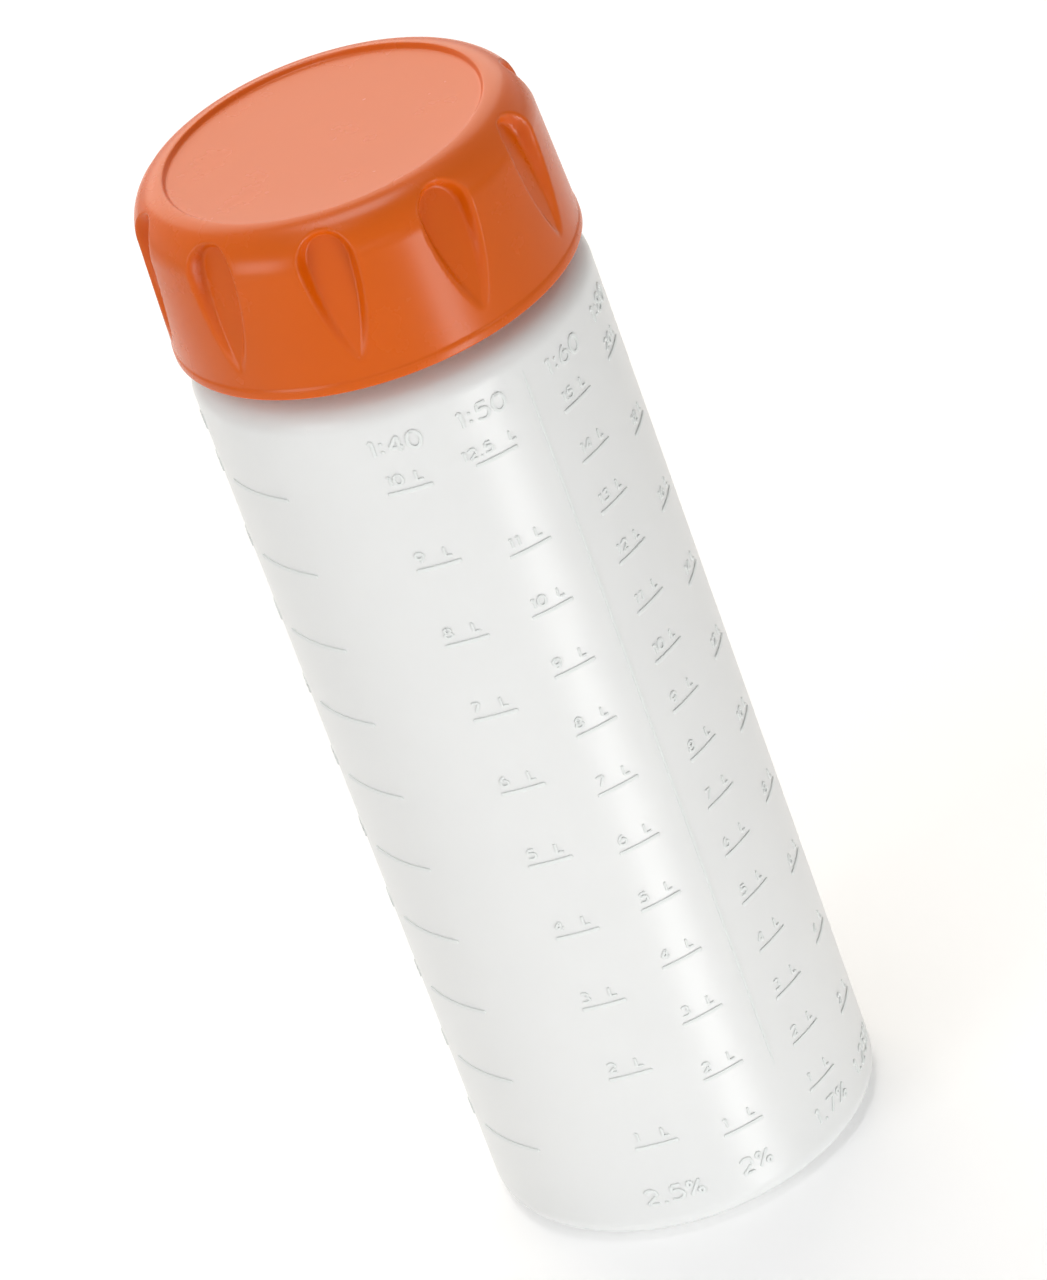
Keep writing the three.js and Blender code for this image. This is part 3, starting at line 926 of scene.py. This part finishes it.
SEAM_AZIMUTHS = (29.2, -150.8)
SEAM_LOW, SEAM_HIGH = 18 * MM, 129.2 * MM
SEAM_WIDTH = 0.36 * MM
SEAM_RISE = 0.13 * MM


class OILBOTTLE_OT_seams(bpy.types.Operator):
    """Make the fine raised lines where the halves of the mould met."""

    bl_idname = "oil_bottle.seams"
    bl_label = "Mould seams"

    def execute(self, context):
        body = context.scene.bottle_body
        material = bpy.data.materials["milky_polyethylene"]
        strokes = []
        for azimuth in SEAM_AZIMUTHS:
            across = math.radians(azimuth) * body.radius
            strokes.append([(across, SEAM_LOW + (SEAM_HIGH - SEAM_LOW) * i / 40)
                            for i in range(41)])
        piece = raised_strokes("mould_seams", strokes, SEAM_WIDTH, SEAM_RISE, body.radius,
                               material)
        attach(piece, "bottle")
        return {"FINISHED"}


# The camera was fitted to the photograph. Yaw and pitch bring its centre to the fitted place, and
# come from offsets and a focal length in the photograph's pixels.
FOCAL_PIXELS = 7528.46
CAMERA_ELEVATION = math.radians(26.614)
CAMERA_ROLL = math.radians(20.41)
CAMERA_DISTANCE = 963.15 * MM
CAMERA_AIM_HEIGHT = 134.83 * MM
CAMERA_YAW = math.atan2(-11.79, FOCAL_PIXELS)
CAMERA_PITCH = math.atan2(-379.29, FOCAL_PIXELS)
CAMERA_LENS = 211.74


def photo_camera():
    """The photograph's camera: it looks down on the upright bottle and is rolled to one side."""
    e = CAMERA_ELEVATION
    right = Vector((1, 0, 0))
    ahead = Vector((0, math.cos(e), -math.sin(e)))
    up = Vector((0, math.sin(e), math.cos(e)))
    yawed_right = right * math.cos(CAMERA_YAW) + ahead * math.sin(CAMERA_YAW)
    yawed_ahead = ahead * math.cos(CAMERA_YAW) - right * math.sin(CAMERA_YAW)
    pitched_up = up * math.cos(CAMERA_PITCH) - yawed_ahead * math.sin(CAMERA_PITCH)
    view_right = yawed_right * math.cos(CAMERA_ROLL) - pitched_up * math.sin(CAMERA_ROLL)
    view_up = pitched_up * math.cos(CAMERA_ROLL) + yawed_right * math.sin(CAMERA_ROLL)
    back = view_right.cross(view_up)
    place = Vector((0, -CAMERA_DISTANCE * math.cos(e),
                    CAMERA_AIM_HEIGHT + CAMERA_DISTANCE * math.sin(e)))
    data = bpy.data.cameras.new("photo_camera")
    data.sensor_width = 36
    data.lens = CAMERA_LENS
    data.clip_start = 0.05
    data.clip_end = 20
    camera = bpy.data.objects.new("photo_camera", data)
    bpy.context.scene.collection.objects.link(camera)
    camera.matrix_world = Matrix.Translation(place) @ Matrix(
        (view_right, view_up, back)).transposed().to_4x4()
    bpy.context.scene.camera = camera


def studio_world():
    """White to look at, with soft light from all round that is stronger from the left."""
    world = bpy.data.worlds.new("studio")
    world.use_nodes = True
    tree = world.node_tree
    tree.nodes.clear()
    way = add_node(tree, "ShaderNodeTexCoord").outputs["Generated"]
    side = add_node(tree, "ShaderNodeSeparateXYZ", inputs={0: way}).outputs["X"]
    level = add_node(tree, "ShaderNodeMapRange", inputs={
        "Value": side, "From Min": -0.6, "From Max": 0.8, "To Min": 0.36, "To Max": 0.07})
    strength = add_node(tree, "ShaderNodeMath", {"operation": "MAXIMUM"}, {
        0: background_seen(tree), 1: level.outputs[0]})
    light = add_node(tree, "ShaderNodeBackground", inputs={
        "Color": rgba("#FFFFFF"), "Strength": strength.outputs[0]})
    add_node(tree, "ShaderNodeOutputWorld", inputs={"Surface": light.outputs[0]})
    world.cycles.sampling_method = "NONE"
    return world


def softbox(name, place, aim, width, height, power, tint):
    """A rectangular lamp that looks at a point."""
    data = bpy.data.lights.new(name, "AREA")
    data.shape = "RECTANGLE"
    data.size = width
    data.size_y = height
    data.energy = power
    data.color = rgba(tint)[:3]
    # Lower than the floor, a lamp is sampled directly only, because no mirrored ray reaches it
    data.cycles.use_multiple_importance_sampling = place[2] > 0
    lamp = bpy.data.objects.new(name, data)
    bpy.context.scene.collection.objects.link(lamp)
    lamp.location = place
    lamp.rotation_euler = (Vector(aim) - Vector(place)).to_track_quat("-Z", "Y").to_euler()


FLOOR_REACH = 6
# Each lamp's name, place, width, height, power in watts and colour
LAMPS = [
    ("left_bank", (-1.00, -0.62, 0.32), 0.55, 0.45, 3.8, "#FFFFFF"),
    ("right_bank", (0.80, -0.70, 0.45), 0.45, 0.45, 0.9, "#FFFFFF"),
    ("front_bank", (-0.10, -1.25, 0.15), 1.1, 0.16, 0.8, "#FFFFFF"),
    ("high_front_bank", (-0.25, -0.50, 1.20), 0.4, 0.4, 0.8, "#FFFFFF"),
    ("overhead_bank", (0.0, 0.05, 1.30), 0.5, 0.5, 5.4, "#FFFFFF"),
    ("back_bank", (0.0, 1.0, 0.78), 1.2, 0.9, 7.0, "#FFF4E2"),
    ("low_strip", (0.41, -0.70, -0.36), 0.22, 0.6, 3.5, "#FFFFFF"),
]


class OILBOTTLE_OT_stage(bpy.types.Operator):
    """Make the floor, the studio light and the camera."""

    bl_idname = "oil_bottle.stage"
    bl_label = "Stage"

    def execute(self, context):
        mesh = bpy.data.meshes.new("floor")
        corners = ((-1, -1), (1, -1), (1, 1), (-1, 1))
        mesh.from_pydata([(x * FLOOR_REACH, y * FLOOR_REACH, 0) for x, y in corners], [],
                         [(0, 1, 2, 3)])
        floor = link_object("floor", mesh)
        floor.location.z = -0.05 * MM
        # The strip lamp stands lower than the floor and lights the wall through it, because that
        # is where the wall mirrors to this camera
        floor.visible_shadow = False
        mesh.materials.append(studio_paper(context.scene.bottle_colours.paper))
        context.scene.world = studio_world()
        for name, place, width, height, power, tint in LAMPS:
            softbox(name, place, (0, 0, 80 * MM), width, height, power, tint)
        photo_camera()
        context.scene.view_settings.view_transform = "Standard"
        return {"FINISHED"}


class OILBOTTLE_PT_panel(bpy.types.Panel):
    """The bottle's steps, in the order in which they are made."""

    bl_label = "Oil Bottle"
    bl_idname = "OILBOTTLE_PT_panel"
    bl_space_type = "VIEW_3D"
    bl_region_type = "UI"
    bl_category = "Oil Bottle"

    def draw(self, context):
        for step in STEPS:
            self.layout.operator(step.bl_idname)


STEPS = [OILBOTTLE_OT_stage, OILBOTTLE_OT_body, OILBOTTLE_OT_scales, OILBOTTLE_OT_seams,
         OILBOTTLE_OT_cap, OILBOTTLE_OT_seal]
GROUPS = {"bottle_body": BodySizes, "bottle_cap": CapSizes, "bottle_marks": MarkSizes,
          "bottle_colours": Colours}


def register():
    """Adds the settings, the operators and the panel."""
    for group in GROUPS.values():
        bpy.utils.register_class(group)
    for name, group in GROUPS.items():
        setattr(bpy.types.Scene, name, PointerProperty(type=group))
    for step in STEPS:
        bpy.utils.register_class(step)
    bpy.utils.register_class(OILBOTTLE_PT_panel)


def unregister():
    """Takes away what register adds."""
    bpy.utils.unregister_class(OILBOTTLE_PT_panel)
    for step in reversed(STEPS):
        bpy.utils.unregister_class(step)
    for name in GROUPS:
        delattr(bpy.types.Scene, name)
    for group in reversed(GROUPS.values()):
        bpy.utils.unregister_class(group)


def main():
    """Makes every piece and the stage."""
    register()
    bpy.ops.oil_bottle.stage()
    bpy.ops.oil_bottle.body()
    bpy.ops.oil_bottle.scales()
    bpy.ops.oil_bottle.seams()
    bpy.ops.oil_bottle.cap()
    bpy.ops.oil_bottle.seal()


if __name__ == "__main__":
    main()
